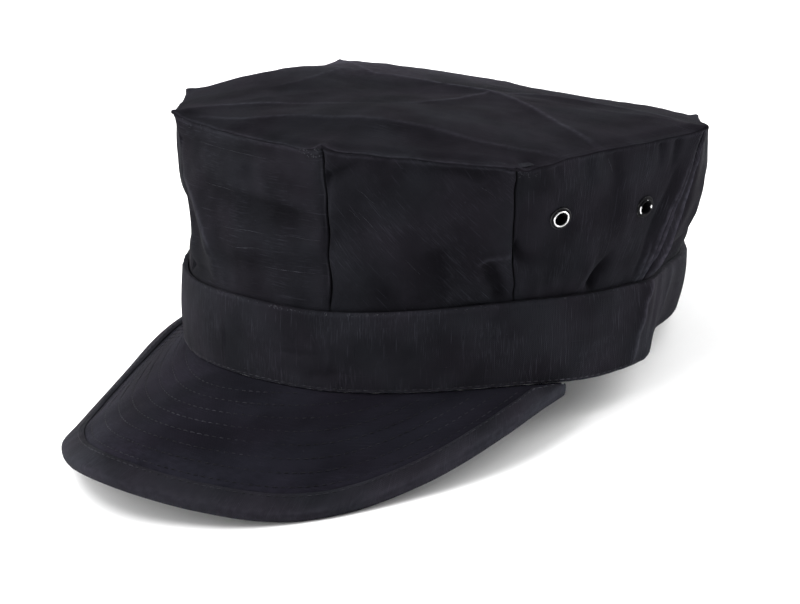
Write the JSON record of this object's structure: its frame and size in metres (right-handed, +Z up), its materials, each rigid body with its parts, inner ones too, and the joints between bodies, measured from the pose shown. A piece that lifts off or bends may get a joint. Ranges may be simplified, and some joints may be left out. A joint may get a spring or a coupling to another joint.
{
  "type": "patrol cap, eight-pointed utility pattern",
  "caption": "Soft cloth cap with a flat many-cornered top, upright side panels, a round band, a stiff bound peak and small metal air eyelets.",
  "frame": {"origin": "on the surface that the cap stands on, under the middle of its box", "axes": "-Y is the front, where the peak is, +X the wearer's left and +Z up; the cap leans back on its band because the peak props up its front"},
  "size_m": [0.2042, 0.273, 0.117],
  "materials": {
    "crown_cloth": "black ripstop cotton, matt, slightly washed",
    "peak_cloth": "black ripstop cotton over a stiffener, matt, with rows of stitching",
    "binding_cloth": "black cotton strip, folded over the edge and stitched",
    "eyelet_metal": "black enamel, worn to bright metal on the rolled rim"
  },
  "bodies": {
    "root": {"crown_top": "crown_cloth", "band": "crown_cloth", "front_panel": "crown_cloth", "front_left_panel": "crown_cloth", "left_panel": "crown_cloth", "back_left_panel": "crown_cloth", "back_panel": "crown_cloth", "back_right_panel": "crown_cloth", "right_panel": "crown_cloth", "front_right_panel": "crown_cloth", "peak": "peak_cloth", "peak_binding": "binding_cloth", "eyelet_left_front": "eyelet_metal", "eyelet_left_rear": "eyelet_metal", "eyelet_right_front": "eyelet_metal", "eyelet_right_rear": "eyelet_metal"}
  },
  "joints": []
}
